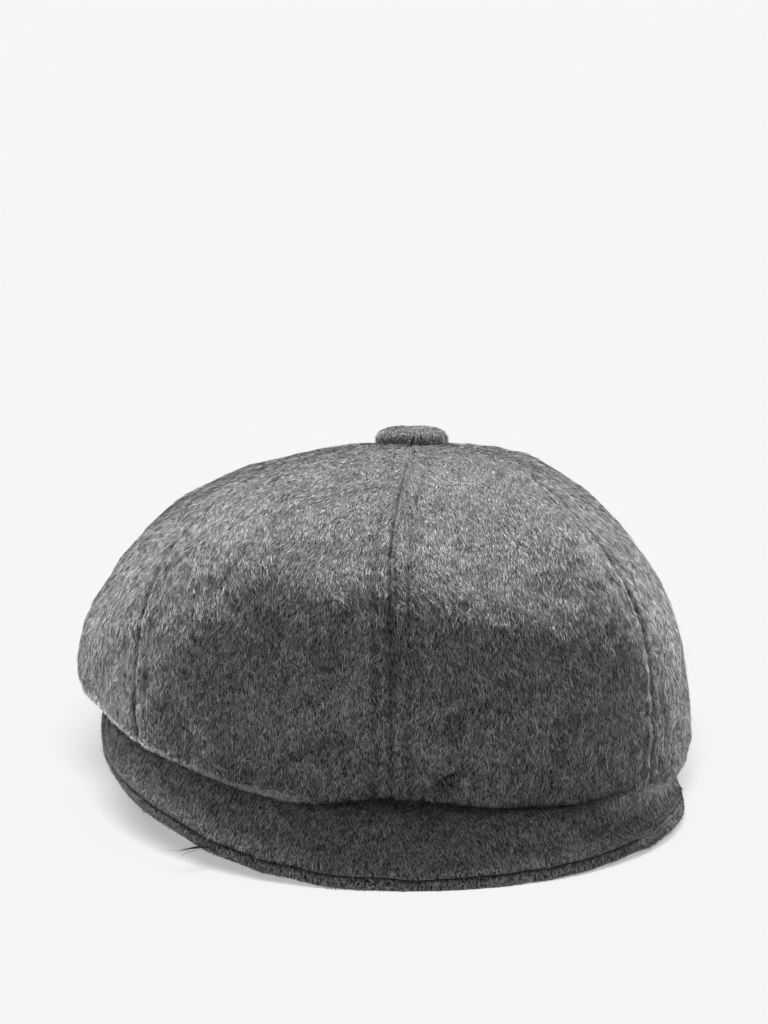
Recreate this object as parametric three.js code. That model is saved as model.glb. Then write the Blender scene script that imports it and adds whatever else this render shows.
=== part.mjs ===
// A flat cap with a full crown of eight cloth panels, a head band, a short steep peak and a covered button.
// Millimetres, +Z up. The peak points to -Y, and +X is on the right of someone facing it.
// The cap rests on the front edge of its peak and the back of its band, and slumps a little to +X.
// Azimuths are in degrees from the front (-Y) towards +X, round the crown's axis at X = 0, Y = 0.
import * as THREE from "three";

const CLOTH = 2;
const GAP = 0.3;

// From the crown's axis to the middle of the whole cap's box, which is the part's origin.
const ORIGIN = { x: 0.8, y: -13 };

// reach: from the axis to the widest point, whose height is belly.
// lip: height of the lowest point of the fold over the band, whose outer radius is fold.
// shoulder: 2 is an ellipse from the top to the widest point, and more is squarer.
// droop: how far the cloth sinks between the top and the shoulder, where it slopes down to the front.
const CROWN_SECTIONS = [
  { azimuth: 0, reach: 118, belly: 46, fold: 5, lip: 23, shoulder: 3, droop: 20 },
  { azimuth: 22.5, reach: 117.5, belly: 42, fold: 5, lip: 17.7, shoulder: 3, droop: 32 },
  { azimuth: 45, reach: 117.5, belly: 36, fold: 5, lip: 13.6, shoulder: 2.7, droop: 20 },
  { azimuth: 67.5, reach: 109, belly: 31, fold: 4, lip: 13.3, shoulder: 2.15, droop: 0 },
  { azimuth: 90, reach: 105.3, belly: 27, fold: 3.2, lip: 11.5, shoulder: 2.12, droop: 0 },
  { azimuth: 112, reach: 107.5, belly: 26, fold: 4, lip: 11, shoulder: 2.3, droop: 0 },
  { azimuth: 135, reach: 111.5, belly: 26, fold: 5, lip: 11, shoulder: 2.3, droop: 0 },
  { azimuth: 180, reach: 117, belly: 30, fold: 5, lip: 13, shoulder: 2.15, droop: 0 },
  { azimuth: 225, reach: 110, belly: 38, fold: 5, lip: 24, shoulder: 2.05, droop: 0 },
  { azimuth: 248, reach: 105, belly: 41, fold: 5, lip: 29, shoulder: 2.05, droop: 0 },
  { azimuth: 270, reach: 103.7, belly: 43.5, fold: 5, lip: 34, shoulder: 1.87, droop: 0 },
  { azimuth: 292.5, reach: 107.5, belly: 46, fold: 5, lip: 37, shoulder: 1.9, droop: 0 },
  { azimuth: 315, reach: 113.5, belly: 48, fold: 5, lip: 31, shoulder: 2.4, droop: 2 },
  { azimuth: 337.5, reach: 117.5, belly: 47.5, fold: 5, lip: 23, shoulder: 2.9, droop: 16 },
  { azimuth: 349, reach: 118, belly: 47, fold: 5, lip: 21.5, shoulder: 3, droop: 20 },
];

// Shallow hollows of the crown: depth, then half-widths round it in degrees and along its section as a share.
const DENTS = [
  { azimuth: 13, way: 0.7, depth: 1.8, round: 5, along: 0.08 },
  { azimuth: 36, way: 0.4, depth: 1.5, round: 12, along: 0.06 },
  { azimuth: 330, way: 0.36, depth: 1.5, round: 13, along: 0.06 },
  { azimuth: 158, way: 0.45, depth: 2.5, round: 12, along: 0.1 },
  { azimuth: 205, way: 0.6, depth: 2.2, round: 10, along: 0.12 },
  { azimuth: 250, way: 0.5, depth: 1.8, round: 9, along: 0.1 },
];

// The eight seams' azimuths, from the front seam round through +X.
const SEAMS = [1.2, 50, 88, 134, 180, 226, 274, 314.5];

// lean: how much lower the back lies than the front.
// puff: how far a panel's middle stands out past its seams.
// tuck: how far the side draws in above the fold. hemRise: from the fold up to the hem.
const CROWN = {
  topZ: 120,
  topX: 9,
  topShiftPower: 8,
  lean: 0.12,
  puff: 2,
  puffPower: 0.6,
  puffRise: 0.8,
  tuck: 1,
  hemRise: 9,
  hemPower: 1.6,
  eyeWay: 0.0075,
};

// Where the stretches of a crown section end, as shares of the way from the top to the hem.
const STRETCHES = { dome: 0.58, side: 0.72, fold: 0.86, hem: 1 };

// The band's oval, and the plane of its lower edge, which is pressed flat where it meets the table.
const BAND = {
  x: 1.4,
  halfX: 98.3,
  halfY: 93,
  thickness: 3,
  height: 28,
  middleZ: 11.5,
  slopeX: -0.1,
  slopeY: -0.15,
};

// place: from -1 at the corner on -X to 1 at the corner on +X.
// edge and root: heights of the peak's middle surface at its edge seam and at the band.
const PEAK_SECTIONS = [
  { place: -1, edge: 28, root: 29.5 },
  { place: -0.78, edge: 24, root: 29 },
  { place: -0.55, edge: 18, root: 27.5 },
  { place: -0.33, edge: 9.9, root: 25 },
  { place: 0, edge: 3.1, root: 20.5 },
  { place: 0.33, edge: 4.3, root: 17 },
  { place: 0.55, edge: 5.7, root: 13 },
  { place: 0.78, edge: 6.5, root: 10.5 },
  { place: 1, edge: 7, root: 9.5 },
];

// The edge's plan runs from the corners to the front.
// Each cover thins towards the edge, and the lower one passes it by lipOut.
const PEAK = {
  x: 3,
  halfWidth: 97.7,
  cornerY: -36,
  frontY: -142,
  squareness: 2.2,
  rootSpan: 70,
  cover: 2.4,
  thinning: 0.25,
  thinningPower: 6,
  arch: 1.2,
  lipOut: 1.2,
  flattest: 0.8,
};

const BUTTON = { x: 9.6, radius: 12.3, height: 5.2, edgeHeight: 2.2, roundness: 0.6, seat: 0.7 };

const WOOL = {
  crown: new THREE.MeshStandardMaterial({ color: 0x5c5c5d, roughness: 0.95, metalness: 0 }),
  band: new THREE.MeshStandardMaterial({ color: 0x4a4a4b, roughness: 0.95, metalness: 0 }),
  peak: new THREE.MeshStandardMaterial({ color: 0x555556, roughness: 0.95, metalness: 0 }),
  button: new THREE.MeshStandardMaterial({ color: 0x505051, roughness: 0.95, metalness: 0 }),
};

const radians = THREE.MathUtils.degToRad;
const mix = THREE.MathUtils.lerp;
const share = (value, low, high) => THREE.MathUtils.clamp((value - low) / (high - low), 0, 1);

// A cubic through one column of a table, at the knots in another. A period closes it on itself.
function along(rows, knot, column, at, period = 0) {
  const n = rows.length;
  const row = (i) => {
    const turn = Math.floor(i / n);
    const j = period ? i - turn * n : THREE.MathUtils.clamp(i, 0, n - 1);
    return { at: rows[j][knot] + (period ? turn * period : 0), value: rows[j][column] };
  };
  let i = 0;
  while (i < (period ? n - 1 : n - 2) && row(i + 1).at <= at) i += 1;
  const [before, low, high, after] = [row(i - 1), row(i), row(i + 1), row(i + 2)];
  const width = high.at - low.at;
  const slope = (a, b) => ((b.value - a.value) / (b.at - a.at)) * width;
  const t = (at - low.at) / width;
  const t2 = t * t;
  const t3 = t2 * t;
  return (
    (2 * t3 - 3 * t2 + 1) * low.value +
    (t3 - 2 * t2 + t) * slope(before, high) +
    (3 * t2 - 2 * t3) * high.value +
    (t3 - t2) * slope(low, after)
  );
}

// How far a panel stands out at this azimuth: 0 on its seams and 1 on its middle line.
function puffAt(azimuth) {
  const fromFirst = THREE.MathUtils.euclideanModulo(azimuth - SEAMS[0], 360);
  const ends = [...SEAMS.slice(1), SEAMS[0] + 360].map((seam) => seam - SEAMS[0]);
  const i = Math.min(ends.findIndex((end) => fromFirst <= end), SEAMS.length - 1);
  const start = i ? ends[i - 1] : 0;
  return Math.sin(Math.PI * share(fromFirst, start, ends[i])) ** CROWN.puffPower;
}

function onBand(azimuth, outwards) {
  const angle = radians(azimuth);
  return {
    x: BAND.x + (BAND.halfX + outwards) * Math.sin(angle),
    y: -(BAND.halfY + outwards) * Math.cos(angle),
  };
}

function dentAt(azimuth, way) {
  let depth = 0;
  for (const dent of DENTS) {
    const turn = (azimuth - dent.azimuth) / dent.round;
    const step = (way - dent.way) / dent.along;
    depth += dent.depth * Math.exp(-turn * turn - step * step);
  }
  return depth;
}

// A point of the crown's outer face. way runs from 0 at the top to 1 at the hem, and puffed from 0 to 1.
function crownPoint(azimuth, way, puffed = 1) {
  const turn = THREE.MathUtils.euclideanModulo(azimuth, 360);
  const column = (name) => along(CROWN_SECTIONS, "azimuth", name, turn, 360);
  const [belly, fold, lip] = ["belly", "fold", "lip"].map(column);
  const [shoulder, droop] = [column("shoulder"), column("droop")];
  const puff = puffed * CROWN.puff * puffAt(azimuth);
  const dent = dentAt(turn, way);
  const reach = column("reach") + puff;
  const dome = (share(way, 0, STRETCHES.dome) * Math.PI) / 2;
  const side = share(way, STRETCHES.dome, STRETCHES.side);
  const turnUnder = (share(way, STRETCHES.side, STRETCHES.fold) * Math.PI) / 2;
  const hem = share(way, STRETCHES.fold, STRETCHES.hem);
  const squaring = (Math.sin(dome) ** shoulder + Math.cos(dome) ** shoulder) ** (-1 / shoulder);
  const height = way < STRETCHES.dome ? squaring * Math.cos(dome) : 0;
  let radius = reach * squaring * Math.sin(dome) - dent * Math.sin(dome);
  let z = mix(belly, CROWN.topZ, height) - dent * Math.cos(dome);
  z += CROWN.puffRise * puff * Math.sin(2 * dome) - droop * (squaring * Math.sin(dome)) ** 2 * height;
  if (way > STRETCHES.dome) {
    radius = reach - CROWN.tuck * side * side - dent;
    z = mix(belly, lip + fold, side);
  }
  if (way > STRETCHES.side) {
    radius = reach - CROWN.tuck - fold + fold * Math.cos(turnUnder) - dent;
    z = lip + fold - fold * Math.sin(turnUnder);
  }
  if (way > STRETCHES.fold) z = lip + CROWN.hemRise * hem ** CROWN.hemPower;
  const angle = radians(azimuth);
  const seat = onBand(azimuth, GAP);
  return new THREE.Vector3(
    mix(radius * Math.sin(angle) + CROWN.topX * height ** CROWN.topShiftPower, seat.x, hem),
    mix(-radius * Math.cos(angle), seat.y, hem),
    z + CROWN.lean * radius * Math.cos(angle) * height,
  );
}

// The unit normal of a surface given as a function of two numbers.
function normalOf(surface, u, v, stepU, stepV) {
  const alongU = surface(u + stepU, v).sub(surface(u - stepU, v));
  const alongV = surface(u, v + stepV).sub(surface(u, v - stepV));
  return alongU.cross(alongV).normalize();
}

// A closed wall between two grids of points. outer and inner hold rows of equal length.
function wallBetween(outer, inner) {
  const rows = outer.length;
  const columns = outer[0].length;
  const positions = [...outer.flat(), ...inner.flat()].flatMap((p) => [p.x, p.y, p.z]);
  const front = (i, j) => i * columns + j;
  const back = (i, j) => rows * columns + i * columns + j;
  const faces = [];
  const quad = (a, b, c, d) => faces.push(a, b, c, a, c, d);
  for (let i = 0; i < rows - 1; i += 1) {
    for (let j = 0; j < columns - 1; j += 1) {
      quad(front(i, j), front(i + 1, j), front(i + 1, j + 1), front(i, j + 1));
      quad(back(i, j), back(i, j + 1), back(i + 1, j + 1), back(i + 1, j));
    }
    quad(front(i, 0), back(i, 0), back(i + 1, 0), front(i + 1, 0));
    quad(front(i, columns - 1), front(i + 1, columns - 1), back(i + 1, columns - 1), back(i, columns - 1));
  }
  for (let j = 0; j < columns - 1; j += 1) {
    quad(front(0, j), front(0, j + 1), back(0, j + 1), back(0, j));
    quad(front(rows - 1, j), back(rows - 1, j), back(rows - 1, j + 1), front(rows - 1, j + 1));
  }
  const geometry = new THREE.BufferGeometry();
  geometry.setAttribute("position", new THREE.Float32BufferAttribute(positions, 3));
  geometry.setIndex(faces);
  return geometry;
}

function meshNamed(name, geometry, material) {
  const mesh = new THREE.Mesh(geometry, material);
  mesh.name = name;
  return mesh;
}

// Steps of the grids across a panel, and along each stretch of its section.
const PANEL_STEPS = { across: 7, dome: 13, side: 3, fold: 4, hem: 3 };
const BAND_STEPS = 72;
const PEAK_STEPS = { across: 36, out: 8 };
const BUTTON_STEPS = { around: 24, up: 5 };

// Steps of azimuth or place, and of way or out, over which a normal is taken.
const NORMAL_STEPS = { crown: [0.05, 0.004], peak: [0.01, 0.02] };

function panelWays() {
  const ways = [];
  let start = 0;
  for (const [stretch, end] of Object.entries(STRETCHES)) {
    const steps = PANEL_STEPS[stretch];
    for (let k = 0; k < steps; k += 1) ways.push(mix(start, end, k / steps));
    start = end;
  }
  ways.push(1);
  ways[0] = CROWN.eyeWay;
  return ways;
}

// One panel between two seams, with half the seam's gap left on each side of it.
function crownPanel(firstSeam, secondSeam) {
  const smooth = (azimuth, way) => crownPoint(azimuth, way, 0);
  const halfGapAt = (seam, way) => GAP / 2 / smooth(seam, way).distanceTo(smooth(seam + 1, way));
  const outer = [];
  const inner = [];
  for (const way of panelWays()) {
    const start = firstSeam + halfGapAt(firstSeam, way);
    const end = secondSeam - halfGapAt(secondSeam, way);
    const outerRow = [];
    const innerRow = [];
    for (let j = 0; j <= PANEL_STEPS.across; j += 1) {
      const azimuth = mix(start, end, j / PANEL_STEPS.across);
      const point = crownPoint(azimuth, way);
      const wayInside = THREE.MathUtils.clamp(way, 0.01, 0.995);
      const inwards = normalOf(smooth, azimuth, wayInside, ...NORMAL_STEPS.crown);
      outerRow.push(point);
      innerRow.push(point.clone().addScaledVector(inwards, CLOTH));
    }
    outer.push(outerRow);
    inner.push(innerRow);
  }
  return wallBetween(outer, inner);
}

// The height of the band's lower edge, no lower than the table.
function bandBottom(x, y) {
  return Math.max(0, BAND.middleZ + BAND.slopeX * (x - BAND.x) + BAND.slopeY * y);
}

function headBand() {
  const profile = [
    { out: 0, up: 0 },
    { out: 0, up: BAND.height },
    { out: -BAND.thickness, up: BAND.height },
    { out: -BAND.thickness, up: 0 },
  ];
  const positions = [];
  for (let i = 0; i < BAND_STEPS; i += 1) {
    const azimuth = (360 * i) / BAND_STEPS;
    const edge = onBand(azimuth, -BAND.thickness / 2);
    const foot = bandBottom(edge.x, edge.y);
    for (const corner of profile) {
      const at = onBand(azimuth, corner.out);
      positions.push(at.x, at.y, foot + corner.up);
    }
  }
  const faces = [];
  const corners = profile.length;
  for (let i = 0; i < BAND_STEPS; i += 1) {
    const next = (i + 1) % BAND_STEPS;
    for (let k = 0; k < corners; k += 1) {
      const turn = (k + 1) % corners;
      const [a, b] = [i * corners + k, next * corners + k];
      const [c, d] = [next * corners + turn, i * corners + turn];
      faces.push(a, b, c, a, c, d);
    }
  }
  const geometry = new THREE.BufferGeometry();
  geometry.setAttribute("position", new THREE.Float32BufferAttribute(positions, 3));
  geometry.setIndex(faces);
  return geometry;
}

const signedPower = (value, power) => Math.sign(value) * Math.abs(value) ** power;

// A point of the peak's middle surface.
// place runs from corner to corner, and out from 0 at the band to 1 at the edge.
function peakPoint(place, out) {
  const root = onBand(PEAK.rootSpan * place, GAP);
  const angle = (place * Math.PI) / 2;
  const power = 2 / PEAK.squareness;
  const edge = {
    x: PEAK.x + PEAK.halfWidth * signedPower(Math.sin(angle), power),
    y: mix(PEAK.cornerY, PEAK.frontY, Math.abs(Math.cos(angle)) ** power),
  };
  const rootZ = along(PEAK_SECTIONS, "place", "root", place);
  const edgeZ = along(PEAK_SECTIONS, "place", "edge", place);
  return new THREE.Vector3(
    mix(root.x, edge.x, out),
    mix(root.y, edge.y, out),
    mix(rootZ, edgeZ, out) + PEAK.arch * Math.sin(Math.PI * Math.min(1, Math.max(0, out))),
  );
}

// One cover of the peak. side is 1 for the upper one and -1 for the lower.
// reach is how far it goes past the edge seam.
function peakCover(side, reach) {
  const faces = { near: [], far: [] };
  for (let i = 0; i <= PEAK_STEPS.out; i += 1) {
    const out = i / PEAK_STEPS.out;
    const rows = { near: [], far: [] };
    for (let j = 0; j <= PEAK_STEPS.across; j += 1) {
      const place = mix(-1, 1, j / PEAK_STEPS.across);
      const point = peakPoint(place, out);
      const placeInside = THREE.MathUtils.clamp(place, -0.97, 0.97);
      const normal = normalOf(peakPoint, placeInside, out, ...NORMAL_STEPS.peak);
      const outwards = peakPoint(place, 1).sub(peakPoint(place, 0)).normalize();
      if (i === PEAK_STEPS.out) point.addScaledVector(outwards, reach);
      const steepness = 1 / Math.max(PEAK.flattest, Math.abs(normal.z));
      const raised = (height) => {
        return new THREE.Vector3(point.x, point.y, Math.max(0, point.z + side * steepness * height));
      };
      const cover = PEAK.cover * (1 - PEAK.thinning * out ** PEAK.thinningPower);
      rows.near.push(raised(GAP / 2));
      rows.far.push(raised(GAP / 2 + cover));
    }
    faces.near.push(rows.near);
    faces.far.push(rows.far);
  }
  return side > 0 ? wallBetween(faces.far, faces.near) : wallBetween(faces.near, faces.far);
}

function button() {
  const profile = [new THREE.Vector2(0, 0), new THREE.Vector2(BUTTON.radius, 0)];
  for (let k = 0; k <= BUTTON_STEPS.up; k += 1) {
    const angle = (k / BUTTON_STEPS.up) * (Math.PI / 2);
    const radius = BUTTON.radius * Math.cos(angle) ** BUTTON.roundness;
    profile.push(new THREE.Vector2(radius, mix(BUTTON.edgeHeight, BUTTON.height, Math.sin(angle))));
  }
  const geometry = new THREE.LatheGeometry(profile, BUTTON_STEPS.around);
  geometry.rotateX(Math.PI / 2);
  return geometry;
}

const cap = new THREE.Group();
SEAMS.forEach((seam, i) => {
  const next = i + 1 < SEAMS.length ? SEAMS[i + 1] : SEAMS[0] + 360;
  cap.add(meshNamed(`crown_panel_${i + 1}`, crownPanel(seam, next), WOOL.crown));
});
cap.add(meshNamed("head_band", headBand(), WOOL.band));
cap.add(meshNamed("peak_top", peakCover(1, 0), WOOL.peak));
cap.add(meshNamed("peak_underside", peakCover(-1, PEAK.lipOut), WOOL.peak));
const topButton = meshNamed("button", button(), WOOL.button);
topButton.position.set(BUTTON.x, 0, CROWN.topZ + BUTTON.seat);
topButton.rotation.x = -Math.atan(CROWN.lean);
cap.add(topButton);
cap.position.set(-ORIGIN.x, -ORIGIN.y, 0);

const flatCap = new THREE.Group();
flatCap.add(cap);

export default flatCap;
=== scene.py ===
"""Looks of a brushed-wool flat cap: its crown of eight sewn panels, head band, peak and covered button.
The cap's sizes are in millimetres about the crown's axis. ORIGIN moves them to the part's own frame."""
import math

import bpy
import numpy as np
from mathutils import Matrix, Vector


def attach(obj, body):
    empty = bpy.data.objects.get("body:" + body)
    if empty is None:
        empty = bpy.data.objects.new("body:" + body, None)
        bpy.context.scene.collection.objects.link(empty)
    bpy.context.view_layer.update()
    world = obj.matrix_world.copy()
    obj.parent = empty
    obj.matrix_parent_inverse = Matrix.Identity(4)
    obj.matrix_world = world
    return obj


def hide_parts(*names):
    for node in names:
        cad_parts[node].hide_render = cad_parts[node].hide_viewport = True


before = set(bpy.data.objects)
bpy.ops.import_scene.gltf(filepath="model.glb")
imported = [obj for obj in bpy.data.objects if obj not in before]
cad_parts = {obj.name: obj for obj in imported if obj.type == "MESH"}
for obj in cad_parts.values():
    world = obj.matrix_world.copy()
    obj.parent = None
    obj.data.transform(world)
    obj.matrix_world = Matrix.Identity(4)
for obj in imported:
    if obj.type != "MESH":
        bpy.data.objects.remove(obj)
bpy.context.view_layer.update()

# The pieces that the lamps light, and those that some lamps light alone, because the peak lies in the
# crown's shade. The floor and backdrop have a glow of their own instead.
LIT = bpy.data.collections.new("lit_pieces")
LIT_CROWN = bpy.data.collections.new("lit_crown")

# Sizes and tables, as in the part

ORIGIN = (0.8, -13.0)
GAP = 0.3
CLOTH = 2.0

# azimuth, reach, belly, fold, lip, shoulder, droop
CROWN_SECTIONS = np.array([
    (0, 118, 46, 5, 23, 3, 20),
    (22.5, 117.5, 42, 5, 17.7, 3, 32),
    (45, 117.5, 36, 5, 13.6, 2.7, 20),
    (67.5, 109, 31, 4, 13.3, 2.15, 0),
    (90, 105.3, 27, 3.2, 11.5, 2.12, 0),
    (112, 107.5, 26, 4, 11, 2.3, 0),
    (135, 111.5, 26, 5, 11, 2.3, 0),
    (180, 117, 30, 5, 13, 2.15, 0),
    (225, 110, 38, 5, 24, 2.05, 0),
    (248, 105, 41, 5, 29, 2.05, 0),
    (270, 103.7, 43.5, 5, 34, 1.87, 0),
    (292.5, 107.5, 46, 5, 37, 1.9, 0),
    (315, 113.5, 48, 5, 31, 2.4, 2),
    (337.5, 117.5, 47.5, 5, 23, 2.9, 16),
    (349, 118, 47, 5, 21.5, 3, 20),
])

# azimuth, way, depth, half-width round in degrees, half-width along as a share
DENTS = (
    (13, 0.7, 1.8, 5, 0.08),
    (36, 0.4, 1.5, 12, 0.06),
    (330, 0.36, 1.5, 13, 0.06),
    (158, 0.45, 2.5, 12, 0.1),
    (205, 0.6, 2.2, 10, 0.12),
    (250, 0.5, 1.8, 9, 0.1),
)

SEAMS = (1.2, 50.0, 88.0, 134.0, 180.0, 226.0, 274.0, 314.5)
TOP_Z, TOP_X, TOP_SHIFT_POWER, LEAN = 120.0, 9.0, 8, 0.12
PUFF, PUFF_POWER, PUFF_RISE = 2.0, 0.6, 0.8
TUCK, HEM_RISE, HEM_POWER, EYE_WAY = 1.0, 9.0, 1.6, 0.0075
# A way down a panel runs from 0 at the top to 1 at the hem, and these are the ends of its stretches
DOME, SIDE, FOLD, HEM = 0.58, 0.72, 0.86, 1.0

BAND_X, BAND_HALF_X, BAND_HALF_Y, BAND_THICKNESS, BAND_HEIGHT = 1.4, 98.3, 93.0, 3.0, 28.0
BAND_MIDDLE_Z, BAND_SLOPE_X, BAND_SLOPE_Y = 11.5, -0.1, -0.15

# place from the left end to the right, height of the edge, height of the root
PEAK_SECTIONS = np.array([
    (-1, 28, 29.5),
    (-0.78, 24, 29),
    (-0.55, 18, 27.5),
    (-0.33, 9.9, 25),
    (0, 3.1, 20.5),
    (0.33, 4.3, 17),
    (0.55, 5.7, 13),
    (0.78, 6.5, 10.5),
    (1, 7, 9.5),
])
PEAK_X, PEAK_HALF_WIDTH, PEAK_CORNER_Y, PEAK_FRONT_Y = 3.0, 97.7, -36.0, -142.0
PEAK_SQUARENESS, PEAK_ROOT_SPAN, PEAK_ARCH = 2.2, 70.0, 1.2
PEAK_COVER, PEAK_THINNING, PEAK_FLATTEST = 2.4, 0.25, 0.8

BUTTON_X, BUTTON_RADIUS, BUTTON_HEIGHT, BUTTON_SEAT = 9.6, 12.3, 5.2, 0.7

# The scene's seams have a relief of their own, so its panels puff out by this share of the part's puff
SOFT_PUFF = 0.38


def share(value, low, high):
    """How far a value has come from low, 0, to high, 1."""
    return np.clip((value - low) / (high - low), 0, 1)


def smooth(value, low, high):
    """The same share with a soft start and end."""
    t = share(value, low, high)
    return t * t * (3 - 2 * t)


def hump(value, middle, half_width):
    """1 at the middle and a soft fall to 0 on both sides."""
    return np.exp(-(((value - middle) / half_width) ** 2))


def cubic(knots, values, at, period=0.0):
    """A smooth curve through the values at the knots. A period closes it on itself."""
    at = np.asarray(at, float)
    if period:
        at = np.mod(at, period)
        knots = np.concatenate([knots[-2:] - period, knots, knots[:3] + period])
        values = np.concatenate([values[-2:], values, values[:3]])
    else:
        knots = np.concatenate([[2 * knots[0] - knots[1]], knots, [2 * knots[-1] - knots[-2]]])
        values = np.concatenate([[values[0]], values, [values[-1]]])
    i = np.clip(np.searchsorted(knots, at, side="right") - 1, 1, len(knots) - 3)
    width = knots[i + 1] - knots[i]
    slope_low = (values[i + 1] - values[i - 1]) / (knots[i + 1] - knots[i - 1]) * width
    slope_high = (values[i + 2] - values[i]) / (knots[i + 2] - knots[i]) * width
    t = (at - knots[i]) / width
    t2 = t * t
    t3 = t2 * t
    low, high = values[i], values[i + 1]
    blend = (2 * t3 - 3 * t2 + 1) * low + (3 * t2 - 2 * t3) * high
    return blend + (t3 - 2 * t2 + t) * slope_low + (t3 - t2) * slope_high


def puff_at(azimuth):
    """How much a panel puffs out at an azimuth: 0 at its seams and 1 at its middle."""
    ends = np.array(SEAMS[1:] + (SEAMS[0] + 360,)) - SEAMS[0]
    starts = np.concatenate([[0.0], ends[:-1]])
    turn = np.mod(azimuth - SEAMS[0], 360)
    i = np.clip(np.searchsorted(ends, turn), 0, len(ends) - 1)
    return np.sin(np.pi * share(turn, starts[i], ends[i])).clip(0, 1) ** PUFF_POWER


def dent_at(azimuth, way):
    """How deep the dents are at a place on the crown."""
    depth = np.zeros(np.broadcast(azimuth, way).shape)
    turn = np.mod(azimuth, 360)
    for centre, middle, deep, around, along in DENTS:
        off = ((turn - centre) / around) ** 2 + ((way - middle) / along) ** 2
        depth = depth + deep * np.exp(-off)
    return depth


def on_band(azimuth, outwards):
    """The x and y of a place on the band's outer face, or outwards of it."""
    a = np.radians(azimuth)
    return BAND_X + (BAND_HALF_X + outwards) * np.sin(a), -(BAND_HALF_Y + outwards) * np.cos(a)


def crown_point(azimuth, way):
    """Points of the crown's outer face."""
    azimuth, way = np.broadcast_arrays(np.asarray(azimuth, float), np.asarray(way, float))
    knots = CROWN_SECTIONS[:, 0]
    columns = (cubic(knots, column, azimuth, 360.0) for column in CROWN_SECTIONS[:, 1:].T)
    reach, belly, fold, lip, shoulder, droop = columns
    puff = SOFT_PUFF * PUFF * puff_at(azimuth)
    dent = dent_at(azimuth, way)
    reach = reach + puff
    dome = share(way, 0, DOME) * np.pi / 2
    side, hem = share(way, DOME, SIDE), share(way, FOLD, HEM)
    under = share(way, SIDE, FOLD) * np.pi / 2
    sine, cosine = np.sin(dome), np.cos(dome).clip(0, 1)
    squaring = (sine ** shoulder + cosine ** shoulder) ** (-1 / shoulder)
    height = np.where(way < DOME, squaring * cosine, 0)
    radius = reach * squaring * sine - dent * sine
    z = belly + (TOP_Z - belly) * height - dent * cosine + PUFF_RISE * puff * np.sin(2 * dome)
    z = z - droop * (squaring * sine) ** 2 * height
    radius = np.where(way > DOME, reach - TUCK * side**2 - dent, radius)
    z = np.where(way > DOME, belly + (lip + fold - belly) * side, z)
    radius = np.where(way > SIDE, reach - TUCK - fold + fold * np.cos(under) - dent, radius)
    z = np.where(way > SIDE, lip + fold - fold * np.sin(under), z)
    z = np.where(way > FOLD, lip + HEM_RISE * hem**HEM_POWER, z)
    a = np.radians(azimuth)
    seat_x, seat_y = on_band(azimuth, GAP)
    x = radius * np.sin(a) + TOP_X * height**TOP_SHIFT_POWER
    y = -radius * np.cos(a)
    z = z + LEAN * radius * np.cos(a) * height
    return np.stack([x + (seat_x - x) * hem, y + (seat_y - y) * hem, z], -1)


def band_bottom(x, y):
    return np.maximum(0, BAND_MIDDLE_Z + BAND_SLOPE_X * (x - BAND_X) + BAND_SLOPE_Y * y)


def signed_power(value, power):
    return np.sign(value) * np.abs(value) ** power


def peak_point(place, out):
    """Points of the peak's middle surface, where its two covers meet. out runs from its root to its edge."""
    place, out = np.broadcast_arrays(np.asarray(place, float), np.asarray(out, float))
    root_x, root_y = on_band(PEAK_ROOT_SPAN * place, GAP)
    angle, power = place * np.pi / 2, 2 / PEAK_SQUARENESS
    edge_x = PEAK_X + PEAK_HALF_WIDTH * signed_power(np.sin(angle), power)
    edge_y = PEAK_CORNER_Y + (PEAK_FRONT_Y - PEAK_CORNER_Y) * np.abs(np.cos(angle)) ** power
    knots, edge_heights, root_heights = PEAK_SECTIONS.T
    root_z = cubic(knots, root_heights, place)
    edge_z = cubic(knots, edge_heights, place)
    z = root_z + (edge_z - root_z) * out + PEAK_ARCH * np.sin(np.pi * np.clip(out, 0, 1))
    return np.stack([root_x + (edge_x - root_x) * out, root_y + (edge_y - root_y) * out, z], -1)


def unit(v):
    return v / np.maximum(np.linalg.norm(v, axis=-1, keepdims=True), 1e-9)


def grid_normals(points, wraps):
    """Unit normals of a grid of points, facing the side from which rows go down and columns go right."""
    if wraps:
        across = np.roll(points, -1, 1) - np.roll(points, 1, 1)
    else:
        across = np.gradient(points, axis=1)
    along = np.gradient(points, axis=0)
    return unit(np.cross(along, across))


def downwards(points):
    """Unit vectors down a grid of points, from row to row."""
    return unit(np.gradient(points, axis=0))


class Waves:
    """Smooth noise in space: a seeded sum of plane waves, from short to long ones in millimetres."""

    def __init__(self, seed, count, short, long):
        draws = np.random.default_rng(seed)
        direction = unit(draws.normal(size=(count, 3)))
        self.waves = direction * (2 * np.pi / draws.uniform(short, long, (count, 1)))
        self.phase = draws.uniform(0, 2 * np.pi, count)
        self.scale = math.sqrt(2 / count)

    def __call__(self, points):
        flat = points.reshape(-1, 3)
        total = np.zeros(len(flat))
        for wave, phase in zip(self.waves, self.phase):
            total += np.sin(flat @ wave + phase)
        return (total * self.scale).reshape(points.shape[:-1])


def to_metres(points):
    return (points - np.array([ORIGIN[0], ORIGIN[1], 0.0])) / 1000


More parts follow.
